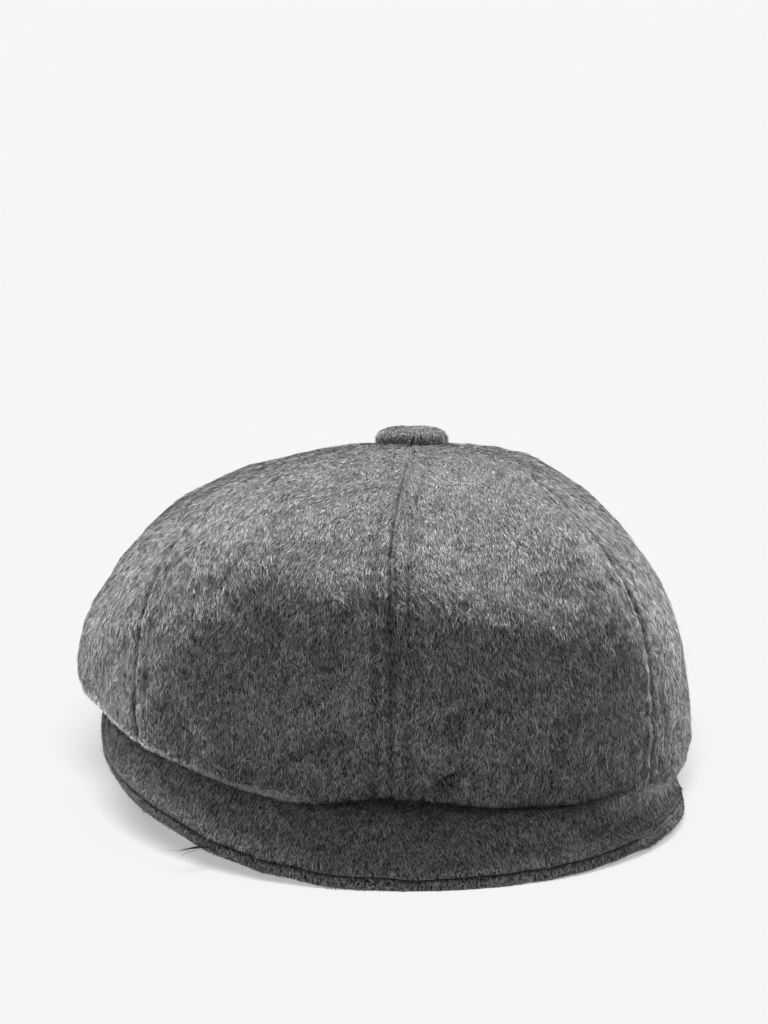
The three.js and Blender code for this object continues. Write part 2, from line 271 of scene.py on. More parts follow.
def finish_mesh(name, vertices, faces, material, uv=None, in_shade=False):
    """A mesh object from vertices in millimetres and rows of vertex numbers, all triangles or all quads.
    One with cloth coordinates, uv, is smooth. One in the crown's shade gets the weaker lamps alone."""
    mesh = bpy.data.meshes.new(name)
    sides = faces.shape[1]
    mesh.vertices.add(len(vertices))
    mesh.vertices.foreach_set("co", to_metres(vertices).astype(np.float32).ravel())
    mesh.loops.add(faces.size)
    mesh.loops.foreach_set("vertex_index", faces.astype(np.int32).ravel())
    mesh.polygons.add(len(faces))
    mesh.polygons.foreach_set("loop_start", np.arange(0, faces.size, sides, dtype=np.int32))
    mesh.polygons.foreach_set("loop_total", np.full(len(faces), sides, dtype=np.int32))
    if uv is not None:
        layer = mesh.uv_layers.new(name="cloth")
        layer.data.foreach_set("uv", uv.astype(np.float32).ravel())
    mesh.update(calc_edges=True)
    mesh.validate()
    if uv is not None:
        mesh.polygons.foreach_set("use_smooth", np.ones(len(mesh.polygons), dtype=bool))
    mesh.materials.append(material)
    piece = bpy.data.objects.new(name, mesh)
    bpy.context.scene.collection.objects.link(piece)
    LIT.objects.link(piece)
    if not in_shade:
        LIT_CROWN.objects.link(piece)
    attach(piece, "root")
    return piece


def grid_faces(rows, columns, wraps):
    """Quads of a grid whose normals follow grid_normals."""
    last = columns if wraps else columns - 1
    i, j = np.meshgrid(np.arange(rows - 1), np.arange(last), indexing="ij")
    right = (j + 1) % columns
    above, below = i * columns, (i + 1) * columns
    return np.stack([above + j, below + j, below + right, above + right], -1).reshape(-1, 4)


def corner_values(values, wraps):
    """A grid's values at the four corners of each of its quads."""
    if wraps:
        values = np.concatenate([values, values[:, :1]], 1)
    return np.stack([values[:-1, :-1], values[1:, :-1], values[1:, 1:], values[:-1, 1:]], 2)


def grid_piece(name, points, material, corner_uv, wraps, inward=False, in_shade=False):
    """A piece from a grid of points. Its faces look along grid_normals, or the other way if inward."""
    faces = grid_faces(*points.shape[:2], wraps)
    if inward:
        faces = faces[:, ::-1]
        corner_uv = corner_uv[:, :, ::-1]
    uv = corner_uv.reshape(-1, 2)
    return finish_mesh(name, points.reshape(-1, 3), faces, material, uv, in_shade)


# Materials

SHEEN_TINT = (0.97, 0.98, 1.0, 1)
# Most of a noise texture's values lie in this range
NOISE_RANGE = (0.38, 0.62)
# Thin streaks along the nap and large soft patches: scale across the nap, scale along it, distortion
STREAKS = (2.6, 0.5, 0.3)
BLOTCHES = (0.11, 0.07, 0.0)
# The streaks' height in metres
STREAK_HEIGHT = 0.0004
# The hairs' roughness varies from place to place
HAIR_NOISE_SCALE = 900
HAIR_ROUGHNESS = (0.6, 0.95)


def new_material(name, specular):
    material = bpy.data.materials.new(name)
    material.use_nodes = True
    nodes, links = material.node_tree.nodes, material.node_tree.links
    shader = nodes["Principled BSDF"]
    shader.inputs["Specular IOR Level"].default_value = specular
    return material, nodes, links, shader


def add_sheen(shader, weight, roughness):
    shader.inputs["Sheen Weight"].default_value = weight
    shader.inputs["Sheen Roughness"].default_value = roughness
    shader.inputs["Sheen Tint"].default_value = SHEEN_TINT


def mapped(nodes, links, value, source, target):
    """A value moved from the source range to the target range."""
    ramp = nodes.new("ShaderNodeMapRange")
    for label, end in zip(("From Min", "From Max", "To Min", "To Max"), (*source, *target)):
        ramp.inputs[label].default_value = end
    links.new(value, ramp.inputs["Value"])
    return ramp.outputs["Result"]


def wool(name, dark, light, streak, patch, bump):
    """Wool cloth, whose nap runs along the second of its cloth coordinates, in millimetres."""
    material, nodes, links, shader = new_material(name, specular=0.15)
    shader.inputs["Roughness"].default_value = 0.92
    add_sheen(shader, weight=0.12, roughness=0.45)
    cloth = nodes.new("ShaderNodeUVMap")
    cloth.uv_map = "cloth"

    def noise(scale_across, scale_along, distortion):
        stretch = nodes.new("ShaderNodeMapping")
        stretch.inputs["Scale"].default_value = (scale_across, scale_along, 1)
        links.new(cloth.outputs["UV"], stretch.inputs["Vector"])
        texture = nodes.new("ShaderNodeTexNoise")
        texture.inputs["Scale"].default_value = 1
        texture.inputs["Detail"].default_value = 2
        texture.inputs["Roughness"].default_value = 0.65
        texture.inputs["Distortion"].default_value = distortion
        links.new(stretch.outputs["Vector"], texture.inputs["Vector"])
        return texture.outputs["Fac"]

    streaks = noise(*STREAKS)
    blotches = noise(*BLOTCHES)
    tone = nodes.new("ShaderNodeMath")
    tone.operation = "ADD"
    links.new(mapped(nodes, links, streaks, NOISE_RANGE, (-streak, streak)), tone.inputs[0])
    links.new(mapped(nodes, links, blotches, NOISE_RANGE, (-patch, patch)), tone.inputs[1])
    colour = nodes.new("ShaderNodeMix")
    colour.data_type = "RGBA"
    colour.inputs["A"].default_value = (*dark, 1)
    colour.inputs["B"].default_value = (*light, 1)
    links.new(mapped(nodes, links, tone.outputs["Value"], (-1, 1), (0, 1)), colour.inputs["Factor"])
    links.new(colour.outputs["Result"], shader.inputs["Base Color"])
    relief = nodes.new("ShaderNodeBump")
    relief.inputs["Strength"].default_value = bump
    relief.inputs["Distance"].default_value = STREAK_HEIGHT
    links.new(streaks, relief.inputs["Height"])
    links.new(relief.outputs["Normal"], shader.inputs["Normal"])
    return material


def fibre(name, grey, sheen):
    """One tone of the nap's hairs."""
    material, nodes, links, shader = new_material(name, specular=0.2)
    shader.inputs["Base Color"].default_value = (grey, grey, grey, 1)
    add_sheen(shader, sheen, roughness=0.5)
    noise = nodes.new("ShaderNodeTexNoise")
    noise.inputs["Scale"].default_value = HAIR_NOISE_SCALE
    roughness = mapped(nodes, links, noise.outputs["Fac"], (0, 1), HAIR_ROUGHNESS)
    links.new(roughness, shader.inputs["Roughness"])
    return material


NEAR_BLACK = (0.003, 0.003, 0.003)
# name, darkest and palest colour, how far streaks and patches move the tone, depth of the streaks
WOOLS = (
    ("crown_wool", NEAR_BLACK, (0.16, 0.16, 0.16), 0.9, 0.1, 1.0),
    ("peak_wool", NEAR_BLACK, (0.16, 0.16, 0.159), 0.9, 0.1, 1.0),
    ("button_wool", NEAR_BLACK, (0.14, 0.14, 0.14), 0.9, 0.1, 1.0),
    ("inside_wool", (0.03, 0.03, 0.031), (0.085, 0.085, 0.087), 0.45, 0.2, 0.6),
)
CROWN_WOOL, PEAK_WOOL, BUTTON_WOOL, INSIDE_WOOL = (wool(*row) for row in WOOLS)

# From the darkest hairs to the palest: share of the hairs up to each, grey and sheen
TONES = (
    ("black", 0.29, 0.003, 0.0),
    ("slate", 0.46, 0.03, 0.05),
    ("grey", 0.61, 0.11, 0.1),
    ("ash", 0.8, 0.25, 0.12),
    ("pale", 1.0, 0.43, 0.12),
)
FIBRES = {name: fibre("nap_" + name, grey, sheen) for name, _, grey, sheen in TONES}

# Crown

COLUMNS = 56
# Each stretch of a way: its end and its rows, an even number, because the inner face takes every second row
STRETCHES = ((DOME, 76), (SIDE, 12), (FOLD, 8), (HEM, 4))
SEAM_TIGHTNESS = 0.75
# Beside a seam: depth of the groove, height of the turned-in edge, depth of the stitches and of the puckers
GROOVE, RIDGE, STITCH, PUCKER = 0.12, 0.2, 0.35, 0.15
# How much deeper the groove and the stitches are where a seam is open
OPEN_GROOVE, OPEN_STITCH = 0.85, 0.4
STITCH_LINE, STITCH_LENGTH, PUCKER_LENGTH = 5.4, 3.2, 7.0

BROAD = Waves(11, 26, 26, 60)
FINE = Waves(12, 40, 7, 16)
MOTTLE = Waves(13, 40, 9, 30)
SWIRL = Waves(14, 30, 12, 34)


def crown_ways():
    """The ways of the crown's rows, as a column."""
    ways, start = [], 0.0
    for end, steps in STRETCHES:
        ways += [start + (end - start) * k / steps for k in range(steps)]
        start = end
    ways[0] = EYE_WAY
    return np.array(ways + [HEM])[:, None]


def crown_panels():
    """Each panel's azimuths, points and cloth coordinates. The columns crowd together at its seams."""
    t = np.arange(COLUMNS + 1) / COLUMNS
    across = t - SEAM_TIGHTNESS * np.sin(2 * np.pi * t) / (2 * np.pi)
    panels = []
    for seam, end in zip(SEAMS, SEAMS[1:] + (SEAMS[0] + 360,)):
        azimuth = seam + (end - seam) * across
        points = crown_point(azimuth[None, :], WAYS)
        steps = np.linalg.norm(np.diff(points, axis=1), axis=-1)
        run = np.concatenate([np.zeros((len(WAYS), 1)), np.cumsum(steps, 1)], 1)
        u = run - run[:, -1:] / 2
        down = np.linalg.norm(np.diff(points[:, COLUMNS // 2], axis=0), axis=-1)
        v = np.broadcast_to(np.concatenate([[0.0], np.cumsum(down)])[:, None], u.shape)
        panels.append({"azimuth": azimuth, "points": points, "u": u, "v": v, "middle": (seam + end) / 2})
    return panels


def whole_crown(key):
    """One grid for the whole crown from the panels' own, which share a column at each seam."""
    return np.concatenate([panel[key][:, :-1] for panel in PANELS], 1)


def stitching(v, depth):
    """Waves along a line of stitches, down from 1 by up to twice the depth."""
    return 1 - depth + depth * np.sin(v * 2 * np.pi / STITCH_LENGTH)


def seam_relief(distance, half_width, v, opened):
    """How far the cloth stands out beside a seam: a groove, the turned-in edge and the stitch line."""
    room = share(half_width, 3, 12)
    groove = -(GROOVE + OPEN_GROOVE * opened) * hump(distance, 0, 0.65)
    ridge = RIDGE * smooth(distance, 0.6, 1.8) * (1 - smooth(distance, 4.6, 7.5))
    stitches = -(STITCH + OPEN_STITCH * opened) * stitching(v, 0.35) * hump(distance, STITCH_LINE, 0.6)
    pucker = PUCKER * np.sin(v * 2 * np.pi / PUCKER_LENGTH) * hump(distance, 0, 4)
    return groove * (0.4 + 0.6 * room) + room * (ridge + stitches + pucker)


# Small folds of the crown's front: middle x and z, half-length, half-width, degrees up from +x, height
CREASES = (
    (20, 28, 6.0, 1.4, 32, -4.2),
    (12, 29, 8, 4, 55, 0.9),
    (14, 43, 15, 3, 88, 0.7),
    (22.5, 46, 5, 2.4, 78, -1.4),
    (-26, 30, 13, 5, 6, 1.1),
    (-23, 38.5, 15, 2.6, 20, -0.7),
    (46, 30, 16, 4, 60, 0.6),
    (56, 36, 14, 3, 70, -0.5),
    (-60, 46, 16, 5, 120, 0.6),
    (-42, 93, 34, 8, 3, 1.2),
    (45, 78, 36, 8, -14, 1.7),
)
# The small folds begin this far forward of the crown's axis, and are full from the second distance on
CREASES_FROM, CREASES_FULL = 20, 50


def crease_relief(points):
    """How far the small folds move the cloth, in or out, on the side that faces the front."""
    relief = np.zeros(points.shape[:-1])
    for x, z, half_length, half_width, degrees, height in CREASES:
        c, s = math.cos(math.radians(degrees)), math.sin(math.radians(degrees))
        right, up = points[..., 0] - x, points[..., 2] - z
        along, across = (right * c + up * s) / half_length, (up * c - right * s) / half_width
        relief += height * np.exp(-(along**2) - across**2)
    return relief * smooth(-points[..., 1], CREASES_FROM, CREASES_FULL)


WAYS = crown_ways()
PANELS = crown_panels()
plain_points = whole_crown("points")
plain_normals = grid_normals(plain_points, True)
across_panels = whole_crown("u")
lengths = whole_crown("v")
half_widths = np.concatenate([np.repeat(panel["u"][:, -1:], COLUMNS, 1) for panel in PANELS], 1)
distances = half_widths - np.abs(across_panels)
# The seam at the front is more open than the others, most of all near the top
nearest_seam = np.concatenate([np.arange(COLUMNS) // (COLUMNS // 2) + k for k in range(len(SEAMS))])
front = (nearest_seam % len(SEAMS) == 0).astype(float)[None, :]
open_front = front * (1 - 0.5 * smooth(WAYS, 0.45, 0.62))


def crown_relief():
    """How far the crown's cloth stands out from its plain shape. It calms down towards the hem."""
    calm = 1 - smooth(WAYS, 0.8, 0.95)
    seams = seam_relief(distances, half_widths, lengths, open_front) * (0.25 + 0.75 * calm)
    unevenness = 0.4 * BROAD(plain_points) + 0.15 * FINE(plain_points)
    return seams + calm * share(WAYS, 0.0, 0.12) * unevenness + crease_relief(plain_points)


crown_points = plain_points + crown_relief()[..., None] * plain_normals
crown_normals = grid_normals(crown_points, True)

# Each panel takes its wool from another place on the cloth
PANEL_STEP = np.array([137.0, 71.0])
panel_uvs = [np.stack([panel["u"], panel["v"]], -1) + k * PANEL_STEP for k, panel in enumerate(PANELS)]
crown_uv = np.concatenate([corner_values(uv, False) for uv in panel_uvs], 1)
crown_cloth = grid_piece("crown_cloth", crown_points, CROWN_WOOL, crown_uv, True)
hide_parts(*[f"crown_panel_{k}" for k in range(1, 9)])

inner_points = (crown_points - CLOTH * plain_normals)[::2, ::2]
inner_uv = corner_values(np.stack([across_panels, lengths], -1)[::2, ::2], True)
crown_inside = grid_piece("crown_inside", inner_points, INSIDE_WOOL, inner_uv, True, inward=True)

# Head band: a folded ring of cloth with a rounded lower edge, which rests on the table at the back right

BAND_COLUMNS = 300
BAND_SIDE_ROWS, BAND_ROUND_ROWS = 14, 6
BAND_ROUND = 1.3
BAND_STITCH_UP = 4.0
BAND_MEAN_RADIUS = 95.0


def band_profile():
    """Distances in from the outer face and heights above the lower edge, from the outer top to the inner."""
    points = [(0.0, up) for up in np.linspace(BAND_HEIGHT, BAND_ROUND, BAND_SIDE_ROWS)]
    for k in range(1, BAND_ROUND_ROWS + 1):
        a = k / BAND_ROUND_ROWS * np.pi / 2
        points.append((BAND_ROUND * (1 - math.cos(a)), BAND_ROUND * (1 - math.sin(a))))
    inner = [(BAND_THICKNESS - x, up) for x, up in points]
    return np.array(points + inner[::-1])


def make_band():
    """The band's points and cloth coordinates. Half of its rows are on its outer face."""
    azimuth = np.arange(BAND_COLUMNS) * 360 / BAND_COLUMNS
    profile = band_profile()
    inwards, up = profile[:, :1], profile[:, 1:]
    foot = band_bottom(*on_band(azimuth, -BAND_THICKNESS / 2))
    points = np.stack([*on_band(azimuth, -inwards), foot[None, :] + up], -1)
    stitch = 0.3 * hump(up, BAND_STITCH_UP, 0.8) * (inwards < BAND_THICKNESS / 2)
    wobble = 0.12 * FINE(points) * smooth(up, 1.5, 5)
    points = points + (wobble - stitch)[..., None] * grid_normals(points, True)
    run = np.concatenate([[0.0], np.cumsum(np.linalg.norm(np.diff(profile, axis=0), axis=-1))])
    uv = np.stack(np.broadcast_arrays(np.radians(azimuth)[None, :] * BAND_MEAN_RADIUS, run[:, None]), -1)
    return points, uv


band_points, band_uv = make_band()
head_band_cloth = grid_piece("head_band_cloth", band_points, PEAK_WOOL, corner_values(band_uv, True), True)
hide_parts("head_band")

# Peak

PLACES = 200
COVER_ROWS = 34
# The rolled edge of the lower cover shows below the upper one, with a narrow groove between them
EDGE_GAP = 0.9
EDGE_ROLL = 3.2
EDGE_OUT = 1.9
EDGE_STEPS = 12
EDGE_WAVES = Waves(15, 12, 12, 36)
EDGE_WAVE_HEIGHT = 0.35
# The upper cover's edge starts this far back from the seam, and comes forward by the second distance
EDGE_BACK, EDGE_FORWARD = 0.9, 1.5
# The covers close to a rounded point in the last part of each end, and the left end turns up
END_START = 0.93
END_RISE, END_RISE_START = 5.0, 0.84
# On the left the rolled edge gets thinner
THIN_ROLL = 0.6
# How high the covers swell up in front of the crown's fold, then how much more at the left and right ends
SWELL, SWELL_LEFT, SWELL_RIGHT = 3.0, 2.0, 3.0
# How far the cloth coordinates reach to each side, and how far each cover is moved along the cloth
PEAK_CLOTH_HALF = 130
COVER_STEP = np.array([31, 17])
# No point of the peak lies lower than this
LOWEST = 0.05
# The covers' slope is measured over this step, and at the ends no further out than this place
SLOPE_STEP, SLOPE_LAST = 0.01, 0.97
UP = np.array([0, 0, 1.0])


def cover_edge(side):
    """Steps round a cover's edge: how far past the seam, and how far above it. The last two lie inside."""
    steps = np.arange(1, EDGE_STEPS + 1) / EDGE_STEPS
    if side > 0:
        top = PEAK_COVER * (1 - PEAK_THINNING) + 0.2
        turn = steps * np.pi / 2
        past = EDGE_FORWARD * np.sin(turn) ** 0.8 - EDGE_BACK
        above = EDGE_GAP + (top - EDGE_GAP) * np.cos(turn).clip(0, 1) ** 0.8
        inner = [(-0.8, EDGE_GAP - 0.3), (-2.5, 0.2)]
    else:
        turn = (steps - 0.55) * np.pi
        past = -0.3 + EDGE_OUT * np.cos(turn).clip(0, 1) ** 0.9
        above = EDGE_ROLL / 2 * (np.sin(turn) - 1)
        inner = [(-1.4, -0.3), (-2.5, -0.1)]
    return np.concatenate([np.stack([past, above], 1), np.array(inner)])


def swelling(place, out):
    """How far the covers swell up. At the left end the swelling lies further out."""
    height = SWELL * smooth(np.abs(place), 0.12, 0.35) + SWELL_LEFT * smooth(-place, 0.62, 0.85)
    middle = 0.58 + 0.17 * smooth(-place, 0.6, 0.9)
    right = SWELL_RIGHT * smooth(place, 0.42, 0.62) * hump(out, 0.62, 0.17)
    return (height * hump(out, middle, 0.16) + right) * (1 - smooth(out, 0.85, 1.0))


def cover_steepness(place, out):
    """How much more than its thickness a cover takes up in height, because it slopes."""
    place = np.clip(place, -SLOPE_LAST, SLOPE_LAST)
    along = peak_point(place + SLOPE_STEP, out) - peak_point(place - SLOPE_STEP, out)
    across = peak_point(place, out + SLOPE_STEP) - peak_point(place, out - SLOPE_STEP)
    upright = np.abs(unit(np.cross(along, across))[..., 2])
    return 1 / np.maximum(PEAK_FLATTEST, upright)


def make_cover(side):
    """A cover's points: rows from its root to its edge, then round the edge to its inside."""
    even = np.linspace(-1, 1, PLACES + 1)
    place = (even * (1 + 0.5 * (1 - even**2)))[None, :]
    out = np.linspace(0, 1, COVER_ROWS)[:, None] ** 0.9
    steep = cover_steepness(place, out)
    closing = np.sqrt(1 - share(np.abs(place[0]), END_START, 1.0) ** 2)
    cover = PEAK_COVER * (1 - PEAK_THINNING * out**6)
    face = peak_point(place, out) + side * (closing * steep * (GAP / 2 + cover))[..., None] * UP
    face[..., 2] += swelling(place, out)
    edge = peak_point(place, 1.0)[0]
    outwards = unit(edge - peak_point(place, 0.0)[0])
    wave = EDGE_WAVE_HEIGHT * closing * EDGE_WAVES(edge)
    if side < 0:
        closing = closing * (1 - THIN_ROLL * smooth(-place[0], 0.6, 0.82))
    rows = [face[:-2]]
    for past, above in cover_edge(side):
        past, above = past * closing + 0.5 * wave, steep[-1] * above * closing + wave
        rows.append((edge + past[:, None] * outwards + above[:, None] * UP)[None])
    points = np.concatenate(rows, 0)
    points[..., 2] += END_RISE * smooth(-place, END_RISE_START, 1.0)
    points[..., 2] = np.maximum(points[..., 2], LOWEST)
    return points


def make_peak(name, side, node):
    """One cover of the peak, the upper for side 1 and the lower for side -1."""
    points = make_cover(side)
    steps = np.linalg.norm(np.diff(points, axis=0), axis=-1)
    v = np.concatenate([np.zeros((1, points.shape[1])), np.cumsum(steps, 0)], 0)
    u = np.broadcast_to(np.linspace(-PEAK_CLOTH_HALF, PEAK_CLOTH_HALF, points.shape[1]), v.shape)
    uv = corner_values(np.stack([u, v], -1) + side * COVER_STEP, False)
    piece = grid_piece(name, points, PEAK_WOOL, uv, False, inward=side < 0, in_shade=True)
    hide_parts(node)
    return points


upper_points = make_peak("peak_upper_cloth", 1, "peak_top")
lower_points = make_peak("peak_lower_cloth", -1, "peak_underside")

# Button

BUTTON_ROWS, BUTTON_COLUMNS = 26, 96
BUTTON_ROUNDNESS = 0.75
BUTTON_FOOT = 1.2


def make_button():
    """A domed disc that leans as the crown's top does, with its rim turned down to the cloth."""
    t = np.linspace(0, 1, BUTTON_ROWS)[:, None]
    turn = np.linspace(0, 2 * np.pi, BUTTON_COLUMNS, endpoint=False)[None, :]
    a = t * 0.5 * np.pi
    bulge = 1.0 + 0.012 * np.cos(3 * turn + 1) + 0.01 * np.cos(5 * turn)
    radius = BUTTON_RADIUS * np.sin(a) ** BUTTON_ROUNDNESS * bulge
    up = BUTTON_HEIGHT * np.cos(a).clip(0, 1) ** BUTTON_ROUNDNESS
    x, y = radius * np.sin(turn), -radius * np.cos(turn)
    z = np.broadcast_to(up - BUTTON_FOOT * smooth(t, 0.93, 1.0), radius.shape)
    lean = -math.atan(LEAN)
    c, s = math.cos(lean), math.sin(lean)
    seat = np.array([BUTTON_X, 0, TOP_Z + BUTTON_SEAT])
    return np.stack([x, y * c - z * s, y * s + z * c], -1) + seat, np.stack([x, y], -1)


button_points, button_uv = make_button()
button_cloth = grid_piece("button_cloth", button_points, BUTTON_WOOL, corner_values(button_uv, True), True)
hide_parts("button")

# Nap: short hairs laid along the cloth, each one a thin spike or a bent curl

rng = np.random.default_rng(2026)
nap = {group: {name: [] for name, *_ in TONES} for group in ("crown", "peak")}
PATCHES = Waves(16, 36, 2.5, 6)
PATCH_SHARE, MOTTLE_SHARE, MIDDLE_TONE = 0.07, 0.04, 0.55
# Hairs start this far below the cloth's surface
SPIKE_SUNK, CURL_SUNK = 0.06, 0.05
# How unevenly hairs roll about their length and curls bend halfway, in radians
SPIKE_ROLL, CURL_ROLL, CURL_BEND = 0.55, 0.5, 0.55
# No hair goes lower than this
HAIR_FLOOR = 0.02


def sample(cloth, weights, per_mm2, values=()):
    """Places spread evenly over a cloth, where weights thins them out, with the values there. A cloth is its
    grids of points, normals and nap directions, and whether they close round on themselves."""
    points, normals, directions, wraps = cloth
    flat_grids = [np.broadcast_to(value, points.shape[:2]) for value in (weights, *values)]
    grids = [points, normals, directions, *flat_grids]
    if wraps:
        grids = [np.concatenate([grid, grid[:, :1]], 1) for grid in grids]
    points, normals, directions, weights = grids[:4]
    down = points[1:, :-1] - points[:-1, :-1]
    right = points[:-1, 1:] - points[:-1, :-1]
    area = np.linalg.norm(np.cross(down, right), axis=-1)
    chance = (area * (weights[:-1, :-1] + weights[1:, 1:]) / 2).ravel()
    total = np.cumsum(chance)
    count = int(round(per_mm2 * total[-1]))
    cell = np.searchsorted(total, rng.random(count) * total[-1]).clip(0, chance.size - 1)
    i, j = np.divmod(cell, points.shape[1] - 1)
    s, t = rng.random((2, count))

    def blend(grid):
        shape = (-1, 1) if grid.ndim == 3 else (-1,)
        low, high = t.reshape(shape), s.reshape(shape)
        upper = grid[i, j] * (1 - low) + grid[i, j + 1] * low
        lower = grid[i + 1, j] * (1 - low) + grid[i + 1, j + 1] * low
        return upper * (1 - high) + lower * high

    roots, n, d = blend(points), unit(blend(normals)), blend(directions)
    d = unit(d - (d * n).sum(-1, keepdims=True) * n)
    return roots, n, d, [blend(grid) for grid in grids[4:]]


def turned(direction, normal, angle):
    """Directions turned about their normals by angles in radians."""
    return direction * np.cos(angle)[:, None] + np.cross(normal, direction) * np.sin(angle)[:, None]


def tilted(way, normals, angle):
    """Directions raised towards the normals by angles in radians."""
    return way * np.cos(angle)[:, None] + normals * np.sin(angle)[:, None]


def hair_sizes(count, length, width, rise):
    """Uneven lengths, widths and slopes about the given ones."""
    size = length * np.exp(rng.normal(0, 0.3, count)).clip(0.4, 2.0)
    return size, width * rng.uniform(0.6, 1.4, count), rise * rng.uniform(0.2, 1.8, count)


def spikes(roots, normals, directions, length, width, rise, spread):
    """Straight hairs of one thin triangle. rise is how steeply they leave the cloth, in radians."""
    size, wide, slope = hair_sizes(len(roots), length, width, rise)
    way = turned(directions, normals, spread * rng.normal(0, 1, len(roots)))
    side = tilted(np.cross(normals, way), normals, rng.normal(0, SPIKE_ROLL, len(roots)))
    half = (wide / 2)[:, None] * side
    start = roots - SPIKE_SUNK * normals
    tip = start + size[:, None] * tilted(way, normals, slope)
    corners = np.stack([start - half, start + half, tip], 1)
    return corners.reshape(-1, 3), np.arange(3 * len(roots)).reshape(-1, 3)


def curls(roots, normals, directions, length, width, rise, spread):
    """Bent hairs of two thin triangles, pointed at both ends."""
    count = len(roots)
    size, wide, slope = hair_sizes(count, length, width, rise)
    way = turned(directions, normals, spread * rng.normal(0, 1, count))
    bent = turned(way, normals, rng.normal(0, CURL_BEND, count))
    side = tilted(np.cross(normals, way), normals, rng.normal(0, CURL_ROLL, count))
    half = (wide / 2)[:, None] * side
    start = roots - CURL_SUNK * normals
    knee = start + (size / 2)[:, None] * tilted(way, normals, slope)
    tip = knee + (size / 2)[:, None] * tilted(bent, normals, slope * rng.uniform(-0.8, 0.6, count))
    corners = np.stack([start, knee - half, knee + half, tip], 1)
    first = 4 * np.arange(count)[:, None]
    faces = np.stack([first + [0, 2, 1], first + [1, 2, 3]], 1)
    return corners.reshape(-1, 3), faces.reshape(-1, 3)


def grow(group, kind, cloth, weights, per_mm2, length, width, rise, spread, shift, evenness):
    """Hairs over a cloth, shared out between the tones by chance and by small and large patches. shift makes
    them darker or paler, and evenness draws them to the middle tone."""
    roots, n, d, (spread, shift, evenness) = sample(cloth, weights, per_mm2, (spread, shift, evenness))
    patch = PATCH_SHARE * PATCHES(roots) + MOTTLE_SHARE * MOTTLE(roots) + shift
    pick = MIDDLE_TONE + (rng.random(len(roots)) + patch - MIDDLE_TONE) * (1 - evenness)
    pick = pick.clip(0.001, 0.999)
    low = 0.0
    for name, high, *_ in TONES:
        chosen = (pick > low) & (pick <= high)
        picked = (roots[chosen], n[chosen], d[chosen])
        nap[group][name].append(kind(*picked, length, width, rise, spread[chosen]))
        low = high


# Nap of the crown

# Degrees by which the nap of a panel at the side turns to the front, and how far it swirls, in radians
BRUSHED, SWIRLED = 12.0, 0.17


def crown_directions():
    """Down each panel, along its middle line, brushed a little forward and swirled."""
    turns = []
    for panel in PANELS:
        line = panel["middle"] - BRUSHED * math.sin(math.radians(panel["middle"]))
        turns.append(np.broadcast_to((panel["azimuth"] - line)[:-1], (len(WAYS), COLUMNS)))
    angle = -np.radians(np.concatenate(turns, 1)) * np.clip(crown_normals[..., 2], 0, 1)
    angle += SWIRLED * SWIRL(crown_points)
    down = downwards(crown_points).reshape(-1, 3)
    return turned(down, crown_normals.reshape(-1, 3), angle.ravel()).reshape(crown_points.shape)


clear_of_button = smooth(WAYS, 0.038, 0.048)
on_top = 1 - smooth(WAYS, 0.28, 0.5)


def crown_nap_weights():
    """The nap is thin in the seams, along the stitches and inside the fold, and ends at the button."""
    near_seam = 1 - (0.15 + 0.75 * open_front) * hump(distances, 0, 0.75)
    near_stitch = 1 - 0.4 * hump(distances, STITCH_LINE, 0.6)
    return near_seam * near_stitch * clear_of_button * (1 - 0.8 * smooth(WAYS, 0.88, 0.94))


def crown_nap_painted_shade():
    """Painted shade: the nap is darker in the seams, along the stitches, about the button and in the small
    folds, where shade falls, and a little darker near the top, where the top lamp is strongest.
    """
    shift = -(0.13 + 0.9 * open_front) * hump(distances, 0, 0.95)
    shift -= (0.35 + 0.4 * front) * stitching(lengths, 0.4) * hump(distances, STITCH_LINE, 0.75)
    shift -= 0.12 * (1 - smooth(WAYS, 0.048, 0.062))
    shift -= 0.06 * (1 - smooth(WAYS, 0.12, 0.3))
    return shift + 0.3 * crease_relief(crown_points).clip(None, 0)


crown = (crown_points, crown_normals, crown_directions(), True)
crown_weights = crown_nap_weights()
# Painted shade of the crown's nap in its seams, stitches and folds, about the button and near the top
crown_painted_shade = crown_nap_painted_shade()
# On top the hairs lie straighter than at the sides
crown_spread = 0.42 - 0.29 * on_top

# Nap of the peak, brushed forward

FORWARD = np.array([0, -1, 0])
upper = (upper_points, grid_normals(upper_points, False), unit(downwards(upper_points) + FORWARD), False)
lower = (lower_points, -grid_normals(lower_points, False), downwards(lower_points), False)
# Rows of a cover counted back from its last one, which lies inside its edge
from_end = len(upper_points) - np.arange(len(upper_points))[:, None]
at_right = smooth(np.linspace(-1, 1, PLACES + 1), 0.28, 0.46)[None, :]
upper_weights = smooth(from_end, 12, 17)
# At the right end, more hairs on the rim and the roll carry the painted shade of its turned-down edge
rim_weights = smooth(-from_end, -17, -13) * smooth(from_end, 6, 9) * (1 + 1.8 * at_right)
lower_weights = (0.08 + smooth(-from_end, -17, -14) * smooth(from_end, 4, 6)) * (1 + 1.5 * at_right)
# The right end's edge turns down. Its nap carries painted shade there and on the roll below it, and a
# painted highlight on the swelling behind it. Both covers' nap is also a little paler all over.
upper_tone_and_painted_light = 0.08 + at_right * (0.22 - 0.75 * smooth(-from_end, -26, -18))
lower_tone_and_painted_shade = 0.1 - 0.4 * at_right

# Nap of the band's outer face and of the button

OUTER_ROWS = BAND_SIDE_ROWS + BAND_ROUND_ROWS
BUTTON_BRUSHED = 0.24
band_outside = band_points[:OUTER_ROWS]
band = (band_outside, grid_normals(band_points, True)[:OUTER_ROWS], downwards(band_outside), True)
button_directions = unit(np.gradient(button_points, axis=0) + BUTTON_BRUSHED * FORWARD)
button = (button_points, grid_normals(button_points, True), button_directions, True)

